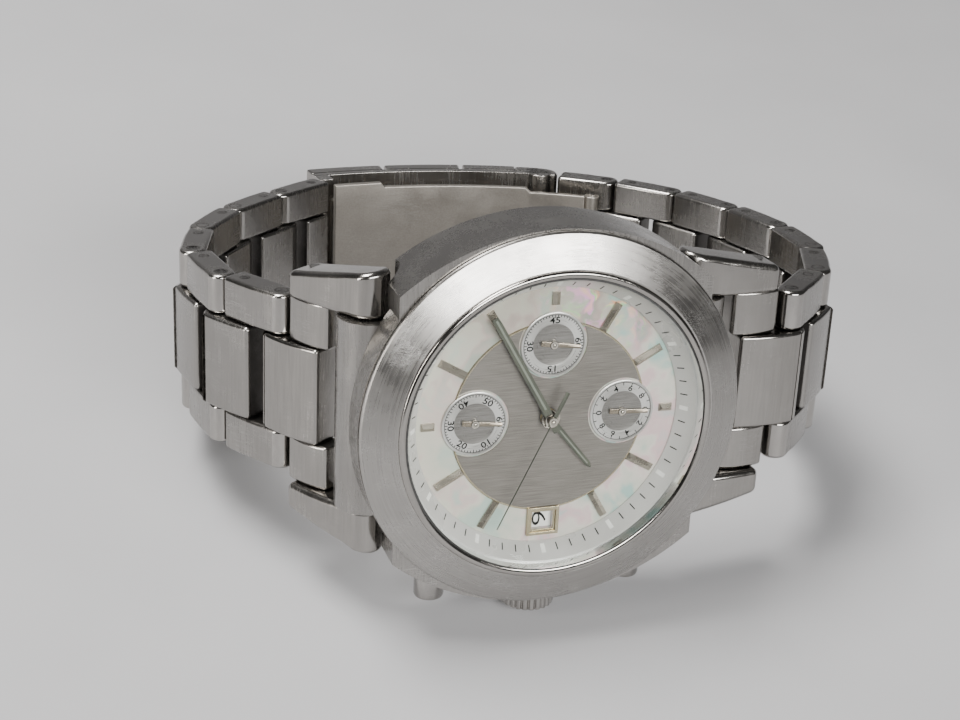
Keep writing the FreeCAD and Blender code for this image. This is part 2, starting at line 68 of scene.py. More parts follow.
# Direction of the last six o'clock link, which has no further hinge to point at.
SIX_END_HEADING = math.radians(145)


def link_matrix(side, number):
    """Link axes: X away from the case, Y outward, Z across the bracelet, origin on its pivot pin."""
    here = pivot(f"{side}_{number}_hinge")
    across = -to_nine if side == "twelve" else to_nine
    following = f"{side}_{number + 1}_hinge"
    if following not in joints:
        following = "clasp_cover_hinge"
    away = (pivot(following) - here).normalized()
    if (side, number) == ("six", 7):
        heading = Vector((-math.cos(SIX_END_HEADING), 0, -math.sin(SIX_END_HEADING)))
        away = (DIAL.to_3x3() @ heading).normalized()
    return axes_matrix(away, across.cross(away).normalized(), across, here)


PITCH = (pivot("six_4_hinge") - pivot("six_3_hinge")).length / MM
FIRST_PITCH = (pivot("six_2_hinge") - pivot("six_1_hinge")).length / MM


# ---------------------------------------------------------------- mesh building
def mesh_from(name, parts, matrix):
    """One mesh of several closed parts, each (points, faces, material index), with its own grain."""
    points, faces, slots = [], [], []
    for part_points, part_faces, slot in parts:
        start = len(points)
        points += [Vector(point) for point in part_points]
        faces += [tuple(start + index for index in face) for face in part_faces]
        slots += slot if isinstance(slot, list) else [slot] * len(part_faces)
    mesh = bpy.data.meshes.new(name)
    mesh.from_pydata([matrix @ point for point in points], [], faces)
    grain = mesh.attributes.new("grain", "FLOAT_VECTOR", "POINT")
    for index, point in enumerate(points):
        grain.data[index].vector = point
    for polygon, slot in zip(mesh.polygons, slots):
        polygon.material_index = slot
    work = bmesh.new()
    work.from_mesh(mesh)
    bmesh.ops.recalc_face_normals(work, faces=work.faces)
    work.to_mesh(mesh)
    work.free()
    return mesh


def finish_piece(name, parts, matrix, materials, body, stands_for=(), bevel=0.0, segments=2, crease=35):
    """Object made of several parts, with its materials, rounded edges, body and replaced CAD nodes."""
    mesh = mesh_from(name, parts, matrix)
    piece = bpy.data.objects.new(name, mesh)
    bpy.context.scene.collection.objects.link(piece)
    for material in materials:
        mesh.materials.append(material)
    for polygon in mesh.polygons:
        polygon.use_smooth = True
    if bevel:
        rounding = piece.modifiers.new("Rounding", "BEVEL")
        rounding.width = bevel * MM
        rounding.segments = segments
        rounding.limit_method = "ANGLE"
        rounding.angle_limit = math.radians(crease)
        rounding.use_clamp_overlap = False
        rounding.harden_normals = True
    else:
        mesh.set_sharp_from_angle(angle=math.radians(crease))
    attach(piece, body)
    if stands_for:
        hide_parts(*stands_for)
    return piece


def prism(outline, low, high, slot=0):
    """Closed outline in X and Y, carried along Z."""
    count = len(outline)
    points = [(x, y, level) for level in (low, high) for x, y in outline]
    faces = [tuple(range(count)), tuple(range(2 * count - 1, count - 1, -1))]
    for index in range(count):
        after = (index + 1) % count
        faces.append((index, after, count + after, count + index))
    return points, faces, slot


def lathe(profile, steps=160, centre=(0, 0), slot=0):
    """Closed (radius, height) profile turned about the local Z axis."""
    points, faces = [], []
    count = len(profile)
    for step in range(steps):
        angle = 2 * math.pi * step / steps
        for radius, height in profile:
            x = centre[0] + radius * math.cos(angle)
            y = centre[1] + radius * math.sin(angle)
            points.append((x, y, height))
    for step in range(steps):
        for index in range(count):
            after = (index + 1) % count
            onward = (step + 1) % steps
            faces.append((step * count + index, step * count + after,
                          onward * count + after, onward * count + index))
    return points, faces, slot


def disc(radius, low, high, centre=(0, 0), steps=64, slot=0):
    outline = [(centre[0] + radius * math.cos(2 * math.pi * step / steps),
                centre[1] + radius * math.sin(2 * math.pi * step / steps)) for step in range(steps)]
    return prism(outline, low, high, slot=slot)


def arc(centre, radius, start, end, steps):
    """Points on an arc between two angles in degrees."""
    return [(centre[0] + radius * math.cos(math.radians(start + (end - start) * step / steps)),
             centre[1] + radius * math.sin(math.radians(start + (end - start) * step / steps)))
            for step in range(steps + 1)]


# ---------------------------------------------------------------- materials
class Graph:
    """Short way to lay out a material's nodes."""

    def __init__(self, name):
        self.material = bpy.data.materials.new(name)
        self.material.use_nodes = True
        self.tree = self.material.node_tree
        self.shader = self.tree.nodes["Principled BSDF"]

    def add(self, kind, inputs=None, **settings):
        item = self.tree.nodes.new("ShaderNode" + kind)
        for key, value in settings.items():
            setattr(item, key, value)
        for key, value in (inputs or {}).items():
            self.put(item.inputs[key], value)
        return item

    def put(self, socket, value):
        if isinstance(value, bpy.types.NodeSocket):
            self.tree.links.new(value, socket)
        elif isinstance(value, bpy.types.Node):
            self.tree.links.new(value.outputs[0], socket)
        else:
            socket.default_value = value

    def surface(self, **inputs):
        for key, value in inputs.items():
            self.put(self.shader.inputs[key.replace("_", " ")], value)
        return self.material

    def grain(self):
        return self.add("Attribute", attribute_name="grain").outputs["Vector"]

    def dial(self):
        """Dial millimetres for a CAD node, whose own coordinates are the frame's."""
        place = self.add("TexCoord").outputs["Object"]
        turn = DIAL.to_quaternion().to_euler()
        return self.add("Mapping", {"Vector": place, "Location": dial_centre, "Rotation": turn,
                                    "Scale": (MM, MM, MM)}, vector_type="TEXTURE").outputs[0]

    def noise(self, coords, stretch, detail=3.0, turn=(0, 0, 0), shift=(0, 0, 0)):
        spot = self.add("Mapping", {"Vector": coords, "Scale": stretch, "Rotation": turn, "Location": shift})
        return self.add("TexNoise", {"Vector": spot, "Scale": 1.0, "Detail": detail}).outputs["Fac"]

    def span(self, value, low, high, start=0.0, end=1.0):
        return self.add("MapRange", {"Value": value, "From Min": start, "From Max": end,
                                     "To Min": low, "To Max": high}).outputs[0]

    def maths(self, kind, first, second=0.0):
        return self.add("Math", {0: first, 1: second}, operation=kind).outputs[0]

    def blend(self, factor, first, second):
        mix = self.add("Mix", data_type="RGBA")
        self.put(mix.inputs["Factor"], factor)
        self.put(mix.inputs[6], first)
        self.put(mix.inputs[7], second)
        return mix.outputs[2]

    def ramp(self, value, *stops):
        item = self.add("ValToRGB", {"Fac": value})
        band = item.color_ramp
        while len(band.elements) < len(stops):
            band.elements.new(0.5)
        for element, (place, colour) in zip(band.elements, stops):
            element.position = place
            element.color = (*colour, 1.0)
        return item.outputs[0]

    def bump(self, height, distance, under=None):
        inputs = {"Height": height, "Distance": distance * MM, "Strength": 1.0}
        if under is not None:
            inputs["Normal"] = under
        return self.add("Bump", inputs).outputs[0]


def scratches(graph, coords, seed):
    """Thin, long scuffs in three directions, as a mask from 0 to 1."""
    mask = None
    for index, turn in enumerate((0.5, -0.35, 1.4)):
        lines = graph.noise(coords, (0.12, 5.0, 5.0), 2.0, turn=(turn * 0.6, 0.3 * turn, turn),
                            shift=(seed + 3.1 * index, seed, 0))
        thin = graph.span(graph.maths("ABSOLUTE", graph.maths("SUBTRACT", lines, 0.5)), 1.0, 0.0, 0.0, 0.012)
        mask = thin if mask is None else graph.maths("MAXIMUM", mask, thin)
    cloud = graph.noise(coords, (0.25, 0.25, 0.25), 2.0, shift=(seed, 0, 7))
    return graph.maths("MULTIPLY", mask, graph.span(cloud, 0.0, 1.0, 0.45, 0.62))


def steel(name, colour, rough, stretch, brush, seed, on_dial=False, scuff=0.5, round_about=False):
    """Steel with smudges and scuffs, brushed along the axis that has the smallest stretch."""
    graph = Graph(name)
    coords = graph.dial() if on_dial else graph.grain()
    source = coords
    if round_about:
        split = graph.add("SeparateXYZ", {"Vector": coords})
        angle = graph.maths("ARCTAN2", split.outputs[1], split.outputs[0])
        reach = graph.add("VectorMath", {0: coords, 1: (1.0, 1.0, 0.0)}, operation="MULTIPLY")
        radius = graph.add("VectorMath", {0: reach}, operation="LENGTH").outputs["Value"]
        source = graph.add("CombineXYZ", {0: graph.maths("MULTIPLY", angle, 9.0), 1: radius,
                                          2: split.outputs[2]}).outputs[0]
    lines = graph.noise(source, stretch, 4.0, shift=(seed, seed, seed))
    fine = graph.noise(source, tuple(3.1 * part for part in stretch), 2.0, shift=(0, seed, 1))
    smudge = graph.noise(coords, (0.22, 0.3, 0.26), 3.0, shift=(seed, 1, 2))
    marks = scratches(graph, coords, seed)
    dark = tuple(0.9 * part for part in colour)
    light = tuple(1.06 * part for part in colour)
    tone = graph.blend(graph.span(lines, 0.0, 1.0, 0.3, 0.7), (*dark, 1), (*light, 1))
    tone = graph.blend(graph.maths("MULTIPLY", marks, 0.35 * scuff), tone, (0.95, 0.94, 0.92, 1))
    roughness = graph.maths("ADD", graph.span(lines, rough - 0.03, rough + 0.05, 0.3, 0.7),
                            graph.span(smudge, -0.05, 0.07, 0.3, 0.7))
    roughness = graph.maths("ADD", roughness, graph.maths("MULTIPLY", marks, 0.12 * scuff))
    normal = graph.bump(graph.maths("ADD", lines, graph.maths("MULTIPLY", fine, 0.5)), brush)
    normal = graph.bump(marks, 0.002 * scuff, under=normal)
    return graph.surface(Base_Color=tone, Metallic=1.0, Roughness=roughness, Normal=normal)


ACROSS = (7.0, 7.0, 0.2)
brushed = steel("brushed_links", (0.30, 0.289, 0.275), 0.24, ACROSS, seed=1.0, brush=0.0002)
polished = steel("polished_steel", (0.38, 0.366, 0.348), 0.12, (2.0, 2.0, 0.5), seed=4.0, brush=0.0004,
                 scuff=0.6)
satin = steel("satin_end_links", (0.32, 0.307, 0.29), 0.17, (5.0, 5.0, 0.25), seed=12.0, brush=0.0005)
# Near-black steel as painted shade, for link faces in the gaps and under neighbours, and for the rings round
# pin heads.
painted_shade = steel("painted_shade_steel", (0.085, 0.08, 0.075), 0.42, (2.0, 2.0, 2.0), seed=6.0, brush=0.0005)
case_steel = steel("case_brushed", (0.30, 0.289, 0.275), 0.24, (5.0, 0.3, 5.0), on_dial=True, seed=8.0,
                   brush=0.0003)
bezel_steel = steel("bezel_brushed", (0.36, 0.348, 0.332), 0.26, (0.35, 8.0, 4.0), seed=2.0, round_about=True,
                    brush=0.0004, scuff=0.8)
rim_steel = steel("bezel_rim_polished", (0.34, 0.325, 0.305), 0.10, (0.5, 3.0, 3.0), seed=11.0,
                  round_about=True, brush=0.0004)
clasp_steel = steel("clasp_brushed", (0.33, 0.317, 0.30), 0.22, (5.0, 0.3, 5.0), seed=9.0, brush=0.0003)
blade_steel = steel("blade_blasted", (0.38, 0.355, 0.32), 0.36, (5.0, 5.0, 5.0), seed=5.0, brush=0.0015)
cad_polished = steel("case_polished", (0.48, 0.465, 0.44), 0.12, (1.5, 1.5, 1.5), on_dial=True, seed=3.0,
                     brush=0.0006)


def plain(name, low, high, rough, scale=(1.5, 1.5, 1.5), metallic=0.0, on_dial=True):
    """Cast, moulded or printed finish: two close tones broken up by noise, with a fine surface."""
    graph = Graph(name)
    coords = graph.dial() if on_dial else graph.grain()
    cloud = graph.noise(coords, scale, 4.0)
    tone = graph.blend(graph.span(cloud, 0.0, 1.0, 0.3, 0.7), (*low, 1), (*high, 1))
    roughness = graph.span(cloud, rough - 0.06, rough + 0.06, 0.3, 0.7)
    tooth = graph.noise(coords, tuple(12 * part for part in scale), 2.0)
    return graph.surface(Base_Color=tone, Metallic=metallic, Roughness=roughness,
                         Normal=graph.bump(tooth, 0.003))


def brushed_face(name, low, high, rough, stretch, metallic=0.7, round_about=None, inner=None):
    """Fine parallel or circular brushing on a dial part; where a middle is given, also a painted two-lobed
    sheen on the brushing and a darker middle.
    """
    graph = Graph(name)
    coords = graph.dial()
    source = coords
    if round_about is not None:
        source = graph.add("VectorMath", {0: coords, 1: (*round_about, 0)}, operation="SUBTRACT").outputs[0]
        split = graph.add("SeparateXYZ", {"Vector": source})
        angle = graph.maths("ARCTAN2", split.outputs[1], split.outputs[0])
        flat = graph.add("VectorMath", {0: source, 1: (1.0, 1.0, 0.0)}, operation="MULTIPLY")
        radius = graph.add("VectorMath", {0: flat}, operation="LENGTH").outputs["Value"]
        source = graph.add("CombineXYZ", {0: angle, 1: radius}).outputs[0]
    lines = graph.noise(source, stretch, 4.0)
    cloud = graph.noise(coords, (0.12, 0.12, 0.12), 2.0)
    tone = graph.blend(graph.span(lines, 0.0, 1.0, 0.3, 0.7), (*low, 1), (*high, 1))
    if inner is None:
        tone = graph.blend(graph.span(cloud, 0.0, 0.35, 0.35, 0.7), tone, (0.34, 0.318, 0.29, 1))
    else:
        # Painted sheen: two bright lobes across the circular brushing, set by the angle about the centre.
        painted_sheen = graph.maths("SINE", graph.maths("ADD", graph.maths("MULTIPLY", angle, 2.0), 0.6))
        tone = graph.blend(graph.span(painted_sheen, 0.0, 0.45, -1.0, 1.0), tone, (0.95, 0.94, 0.93, 1))
        middle = graph.span(radius, 1.0, 0.0, inner, inner + 0.05)
        grey = graph.blend(graph.span(graph.noise(coords, (0.5, 12.0, 1.0), 3.0), 0.0, 1.0, 0.3, 0.7),
                           (0.20, 0.19, 0.18, 1), (0.31, 0.298, 0.285, 1))
        tone = graph.blend(middle, tone, grey)
    return graph.surface(Base_Color=tone, Metallic=metallic,
                         Roughness=graph.span(lines, rough - 0.08, rough + 0.08),
                         Normal=graph.bump(lines, 0.002))


def pearl():
    """Mother-of-pearl: milky with soft bands, dusky at nine o'clock and with strong colour near eleven."""
    graph = Graph("mother_of_pearl")
    coords = graph.dial()
    split = graph.add("SeparateXYZ", {"Vector": coords})
    warp = graph.add("TexNoise", {"Vector": coords, "Scale": 0.16, "Detail": 3.0})
    push = graph.add("VectorMath", {0: warp.outputs["Color"], 1: (11.0, 11.0, 11.0)}, operation="MULTIPLY")
    bent = graph.add("VectorMath", {0: coords, 1: push}, operation="ADD")
    bands = graph.noise(bent.outputs[0], (0.26, 0.14, 0.2), 2.0)
    milky = graph.ramp(bands, (0.34, (0.34, 0.50, 0.46)), (0.42, (0.54, 0.56, 0.49)),
                       (0.50, (0.63, 0.59, 0.54)), (0.57, (0.62, 0.46, 0.47)), (0.65, (0.40, 0.52, 0.50)))
    left = graph.span(split.outputs[0], 0.6, 0.0, -13.0, 1.0)
    milky = graph.blend(left, milky, (0.58, 0.56, 0.46, 1))
    drift = graph.span(bands, -4.0, 4.0, 0.3, 0.7)
    top = graph.span(graph.maths("ADD", split.outputs[1], drift), 0.0, 0.7, 5.0, 13.0)
    milky = graph.blend(top, milky, (0.27, 0.245, 0.19, 1))
    veins = graph.noise(bent.outputs[0], (0.75, 0.75, 0.75), 3.0)
    bright = graph.ramp(graph.noise(bent.outputs[0], (0.38, 0.38, 0.38), 1.0), (0.36, (0.85, 0.34, 0.16)),
                        (0.44, (0.80, 0.66, 0.40)), (0.50, (0.30, 0.78, 0.26)), (0.56, (0.78, 0.34, 0.66)),
                        (0.64, (0.90, 0.52, 0.40)))
    away = graph.add("VectorMath", {0: coords, 1: (4.6, 11.0, 0)}, operation="DISTANCE").outputs["Value"]
    near = graph.span(away, 1.0, 0.0, 1.0, 7.0)
    ragged = graph.maths("MULTIPLY", near, graph.span(veins, 0.0, 0.9, 0.47, 0.60))
    tone = graph.blend(ragged, milky, bright)
    return graph.surface(Base_Color=tone, Roughness=graph.span(bands, 0.16, 0.30), Coat_Weight=0.4,
                         Coat_Roughness=0.05, Normal=graph.bump(bands, 0.003))


def glass():
    """Clear crystal: light passes straight through, and the surface reflects by its angle."""
    graph = Graph("crystal_clear")
    coords = graph.dial()
    specks = graph.span(graph.noise(coords, (0.8, 0.8, 0.8), 4.0), 0.01, 0.05, 0.4, 0.7)
    clear = graph.add("BsdfTransparent", {"Color": (0.98, 0.985, 0.98, 1)})
    edge = graph.add("Fresnel", {"IOR": 1.2})
    graph.surface(Base_Color=(0.9, 0.93, 0.92, 1), Metallic=1.0, Roughness=specks)
    both = graph.add("MixShader", {0: edge, 1: clear, 2: graph.shader.outputs[0]})
    output = graph.tree.nodes["Material Output"]
    graph.tree.links.new(both.outputs[0], output.inputs["Surface"])
    return graph.material


ink = plain("printed_ink", (0.004, 0.004, 0.004), (0.012, 0.012, 0.011), 0.6, on_dial=False)
ink.node_tree.nodes["Principled BSDF"].inputs["Specular IOR Level"].default_value = 0.1
white_print = plain("white_print", (0.85, 0.85, 0.82), (0.95, 0.95, 0.92), 0.4, on_dial=False)
hand_metal = plain("hand_metal", (0.07, 0.075, 0.06), (0.11, 0.115, 0.09), 0.42, (0.3, 0.8, 0.8), 0.4,
                   on_dial=False)
taupe_metal = plain("taupe_metal", (0.26, 0.22, 0.17), (0.36, 0.31, 0.25), 0.3, (0.5, 1, 1), 0.7,
                    on_dial=False)
hub_metal = plain("hub_metal", (0.50, 0.46, 0.40), (0.62, 0.58, 0.52), 0.14, (1, 1, 1), 1.0, on_dial=False)
lume = plain("lume", (0.17, 0.19, 0.155), (0.22, 0.24, 0.20), 0.6, (3, 3, 3), on_dial=False)
marker_metal = plain("marker_metal", (0.40, 0.36, 0.30), (0.50, 0.46, 0.39), 0.28, (0.3, 0.8, 0.8), 0.85,
                     on_dial=False)


# ---------------------------------------------------------------- bracelet
NOSE, CENTRE_NOSE, CENTRE_TOP, CENTRE_START = 1.5, 1.8, 1.95, 3.0
CROWNING = 0.13
LINK_HALF, LINK_TAPER, CENTRE_HALF, CENTRE_TAPER, SIDE_PLAY = 9.25, 0.18, 4.9, 0.1, 0.15
LINK_GAP, CLASP_LINK_GAP = 1.65, 2.6
FIXING_PIN, FIXING_RADIUS = 5.1, 0.42
ARM_INNER, ARM_NEAR, ARM_FAR, ARM_BACK, ARM_LENGTH = 9.75, 14.6, 12.4, 2.0, 10.6
BLOCK_INNER, BLOCK_HALF = 5.05, 9.7
LUG_PIN, LUG_PIN_HALF, LUG_PIN_RADIUS = 6.9, 12.78, 0.5
# Indices of the materials on a link: plain steel, polished steel, and steel darkened as painted shade.
STEEL, BRIGHT, SHADE = 0, 1, 2


def crowned(start, end, level, steps=8, swell=CROWNING):
    """Outer face of a piece, gently convex along the bracelet, from its far end back to its near end."""
    points = []
    for step in range(steps + 1):
        share = step / steps
        points.append((end + (start - end) * share, level - swell * (2 * share - 1) ** 2))
    return points


def corner(x, y, radius, start):
    """Quarter round inside the corner (x, y), met in the direction that starts at an angle in degrees."""
    middle = start + 45
    centre = (x - radius * math.copysign(1, math.cos(math.radians(middle))),
              y - radius * math.copysign(1, math.sin(math.radians(middle))))
    return arc(centre, radius, start, start + 90, 5)


def piece(outline, low, high, shaded=(), bright=(), inner_cap=None):
    """Prism across the bracelet, with runs of its outline in painted shade or polished steel named by their
    ends, and the cap that inner_cap names in painted shade.
    """
    points, faces, _ = prism(outline, low, high)
    slots = [SHADE if inner_cap == "low" else STEEL, SHADE if inner_cap == "high" else STEEL]
    for index in range(len(outline)):
        x = (outline[index][0] + outline[(index + 1) % len(outline)][0]) / 2
        y = (outline[index][1] + outline[(index + 1) % len(outline)][1]) / 2
        slot = STEEL
        if any(x0 <= x <= x1 and y0 <= y <= y1 for x0, x1, y0, y1 in bright):
            slot = BRIGHT
        if any(x0 <= x <= x1 and y0 <= y <= y1 for x0, x1, y0, y1 in shaded):
            slot = SHADE
        slots.append(slot)
    return points, faces, slots


def outer_outline(end):
    nose = arc((0, 0), NOSE - CROWNING * 0.5, 95, 265, 14)
    tail = corner(end, -NOSE, 0.5, 270) + corner(end, NOSE - CROWNING, 0.5, 0)
    return nose + tail + crowned(0.6, end - 0.6, NOSE)[:-1]


def centre_outline(end, rounded, start=CENTRE_START, swell=CROWNING):
    tail = corner(end, -NOSE, 0.45, 270)
    if rounded:
        tail = arc((end, 0), CENTRE_NOSE, -95, 62, 12)
    return (corner(start, CENTRE_TOP - swell, 0.45, 90) + corner(start, -NOSE, 0.45, 180) + tail
            + crowned(start + 0.6, end + (0.8 if rounded else -0.4), CENTRE_TOP, swell=swell)[:-1])


def pin(at, half, radius=0.58):
    """Pin head, flush with both sides, in a thin ring of painted shadow that stands for its clearance gap."""
    points, faces, _ = disc(radius, -half, half, steps=28)
    rod = [(x + at, y, z) for x, y, z in points], faces, BRIGHT
    # Thin near-black rings just proud of each side, as painted shadow.
    shadow_rings = []
    for hand in (1, -1):
        low, high = sorted((hand * (half - 0.02), hand * (half + 0.006)))
        near, far = radius + 0.01, radius + 0.13
        shadow_rings.append(lathe([(near, low), (far, low), (far, high), (near, high)], 28, (at, 0), SHADE))
    return [rod] + shadow_rings


def make_link(side, number, last):
    half = LINK_HALF - LINK_TAPER * (number - 2)
    inner = CENTRE_HALF - CENTRE_TAPER * (number - 2)
    mouth = inner + SIDE_PLAY
    end = PITCH - (CLASP_LINK_GAP if last and side == "twelve" else LINK_GAP)
    rounded = not (last and side == "six")
    centre_end = PITCH if rounded else end
    outline = outer_outline(end)
    nose = ((-2, 0.3, -2, 2),)
    # Painted shade: the outer pieces' far end faces and inner caps, and the centre piece's start face and far
    # barrel, get the darkened steel.
    behind = ((end - 0.1, 20, -1.2, 1.0),)
    painted_shade_runs = ((CENTRE_START - 0.1, CENTRE_START + 0.1, -2, 1.4), (centre_end, 20, -2, 1.2))
    parts = [piece(outline, mouth, half, behind, nose, "low"),
             piece(outline, -half, -mouth, behind, nose, "high"),
             piece(centre_outline(centre_end, rounded), -inner, inner, painted_shade_runs)]
    name, body = f"link_{side}_{number}", f"{side}_{number}"
    matrix = link_matrix(side, number)
    finish_piece(name + "_steel", parts, matrix, (brushed, polished, painted_shade), body, (name,),
                 bevel=0.4, segments=4)
    heads = pin(0, half) + pin(FIXING_PIN, half, FIXING_RADIUS)
    finish_piece(name + "_pins", heads, matrix, (brushed, polished, painted_shade), body)


def lug_arm(hand):
    """Flared arm beside the end link, wider at its pivot than at its far end."""
    profile = arc((0, 0.4), 2.0, 95, 235, 12) + corner(8.6, -1.6, 0.7, 270) + corner(8.6, 2.2, 0.7, 0)
    profile += crowned(0.2, 7.8, 2.4, swell=0.2)[:-1]
    points, faces, _ = prism(profile, 0.0, 1.0)
    shaped = []
    for x, y, share in points:
        along = min(1.0, max(0.0, (x + ARM_BACK) / ARM_LENGTH))
        outside = ARM_NEAR + (ARM_FAR - ARM_NEAR) * along
        shaped.append((x, y, hand * (ARM_INNER + share * (outside - ARM_INNER))))
    return shaped, faces, STEEL


def make_end_link(side):
    matrix = link_matrix(side, 1)
    body = f"{side}_1"
    finishes = (satin, polished, painted_shade)
    arms = [lug_arm(1), lug_arm(-1)]
    finish_piece(f"lug_arms_{side}_steel", arms, matrix, finishes, body,
                 (f"lug_arms_{side}",), bevel=0.6, segments=5)
    heads = pin(LUG_PIN, LUG_PIN_HALF, LUG_PIN_RADIUS)
    finish_piece(f"lug_pins_{side}", heads, matrix, finishes, body)
    start, end, top = 4.2, FIRST_PITCH - 2.0, NOSE - 0.3
    block = (corner(start, top, 0.45, 90) + corner(start, -NOSE, 0.45, 180) + corner(end, -NOSE, 0.45, 270)
             + corner(end, top, 0.45, 0) + crowned(start + 0.6, end - 0.6, NOSE, swell=0.24)[:-1])
    # Painted shade: the blocks' far end faces and inner caps, and the centre piece's far barrel, get the
    # darkened steel.
    behind = ((end - 0.1, 20, -1.2, 0.8),)
    parts = [piece(block, BLOCK_INNER, BLOCK_HALF, behind, inner_cap="low"),
             piece(block, -BLOCK_HALF, -BLOCK_INNER, behind, inner_cap="high"),
             piece(centre_outline(FIRST_PITCH, True, 5.2, 0.3), -5.0, 5.0, ((FIRST_PITCH, 20, -2, 1.2),))]
    finish_piece(f"end_link_{side}_steel", parts, matrix, finishes, body,
                 (f"end_link_{side}",), bevel=0.34, segments=4)


for side, count in (("six", 7), ("twelve", 8)):
    make_end_link(side)
    for number in range(2, count + 1):
        make_link(side, number, number == count)


# ---------------------------------------------------------------- bezel, case and controls
def dial_piece(name, parts, material, stands_for=(), bevel=0.0, crease=35):
    """Piece in dial millimetres that rides on the case."""
    return finish_piece(name, parts, DIAL, (material,), "case", stands_for, bevel, crease=crease)


BEZEL_LOW, BEZEL_EDGE, RIM, BORE = 1.2, 19.0, 15.6, 14.9
skirt_profile = [(BORE, BEZEL_LOW), (18.7, BEZEL_LOW), (18.75, 1.3), (18.95, 1.34), (BEZEL_EDGE, 1.42),
                 (BEZEL_EDGE, 1.5), (18.95, 1.62), (18.82, 1.74), (RIM + 0.12, 2.82), (RIM, 2.8), (BORE, 2.8)]
rim_profile = [(BORE, 2.81), (RIM - 0.02, 2.81), (RIM - 0.04, 2.92), (RIM - 0.14, 3.02), (15.3, 3.06),
               (15.05, 3.04), (14.93, 2.98), (BORE, 2.92)]
dial_piece("bezel_ring", [lathe(skirt_profile, 240)], bezel_steel, ("bezel",), crease=12)
dial_piece("bezel_rim", [lathe(rim_profile, 240)], rim_steel)
crystal_profile = [(14.68, 1.8), (14.68, 3.12), (14.6, 3.2)] + [
    (14.5 * (1 - step / 8) + 0.001, 3.2 + 0.06 * math.sin(math.pi / 2 * step / 8)) for step in range(9)] + [
    (0.001, 1.82), (14.5, 1.82)]
dial_piece("crystal_dome", [lathe(crystal_profile, 160)], glass(), ("crystal",))


CROWN_RADIUS, CROWN_GROOVES, GROOVE_DEPTH = 2.7, 24, 0.2
PUSHER_PLACE, CONTROL_LEVEL = 10.4, -3.0


def knurled_crown():
    steps = CROWN_GROOVES * 8
    outline = []
    for step in range(steps):
        angle = 2 * math.pi * step / steps
        dip = max(0.0, math.cos(CROWN_GROOVES * angle)) ** 2
        radius = CROWN_RADIUS - GROOVE_DEPTH * dip
        outline.append((radius * math.cos(angle), radius * math.sin(angle)))
    body = prism(outline, -21.3, -19.6)
    boss = lathe([(0.001, -21.4), (1.9, -21.4), (2.1, -21.3), (2.1, -21.0), (0.001, -21.0)], 64)
    collar = lathe([(0.001, -19.7), (2.2, -19.7), (2.2, -19.5), (0.001, -19.5)], 64)
    return [body, boss, collar]


def along_control(x):
    """Axes of a control that points out at three o'clock."""
    return DIAL @ Matrix.Translation((x, 0, CONTROL_LEVEL)) @ Matrix.Rotation(math.radians(-90), 4, "X")


finish_piece("crown_cap", knurled_crown(), along_control(0), (polished,), "crown",
             ("crown",), bevel=0.06)
for name, x in (("two", PUSHER_PLACE), ("four", -PUSHER_PLACE)):
    cap = lathe([(0.001, -19.6), (1.2, -19.6), (1.41, -19.5), (1.5, -19.3), (1.5, -16.9), (0.001, -16.9)], 64)
    stalk = disc(0.5, -16.9, -9.7, steps=24)
    finish_piece(f"pusher_{name}_cap", [cap, stalk], along_control(x), (polished,), f"pusher_{name}",
                 (f"pusher_{name}",))


# ---------------------------------------------------------------- dial
# Thickness of the printing.
PRINT = 0.012


def radial_bar(angle, inner, outer, width, low, high, centre=(0, 0), rise=0.0):
    """Thin block that points away from a centre, optionally climbing with radius."""
    along = Vector((math.cos(angle), math.sin(angle)))
    across = Vector((-along.y, along.x)) * width / 2
    points = []
    for level in (low, high):
        for reach, hand in ((inner, -1), (outer, -1), (outer, 1), (inner, 1)):
            spot = Vector(centre) + along * reach + across * hand
            points.append((spot.x, spot.y, level + rise * (reach - inner)))
    faces = [(0, 1, 2, 3), (7, 6, 5, 4), (0, 4, 5, 1), (1, 5, 6, 2), (2, 6, 7, 3), (3, 7, 4, 0)]
    return points, faces, 0


FLANGE_IN, FLANGE_OUT, FLANGE_FOOT, FLANGE_TOP = 13.2, 14.55, 0.16, 1.76
slope = (FLANGE_TOP - FLANGE_FOOT) / (FLANGE_OUT - FLANGE_IN)
flange_profile = [(FLANGE_IN, 0.02), (14.78, 0.02), (14.78, FLANGE_TOP), (FLANGE_OUT, FLANGE_TOP),
                  (FLANGE_IN, FLANGE_FOOT)]
flange_silver = plain("flange_silver", (0.62, 0.612, 0.595), (0.72, 0.71, 0.69), 0.3, (0.12, 0.12, 0.12),
                      0.25)
dial_piece("flange_slope", [lathe(flange_profile, 200)], flange_silver, ("flange_ring",))
ticks, blocks = [], []
for minute in range(60):
    angle = math.radians(6 * minute)
    if minute % 5:
        ticks.append(radial_bar(angle, 13.45, 13.95, 0.12, FLANGE_FOOT + slope * 0.25,
                                FLANGE_FOOT + slope * 0.25 + PRINT, rise=slope))
    else:
        blocks.append(radial_bar(angle, 13.4, 14.0, 0.42, FLANGE_FOOT + slope * 0.2,
                                 FLANGE_FOOT + slope * 0.2 + 0.05, rise=slope))
dial_piece("minute_track", ticks, ink)
dial_piece("five_minute_blocks", blocks, white_print)


MARKER_WIDTH, MARKER_SIDE, MARKER_RIDGE = 0.75, 0.2, 0.45


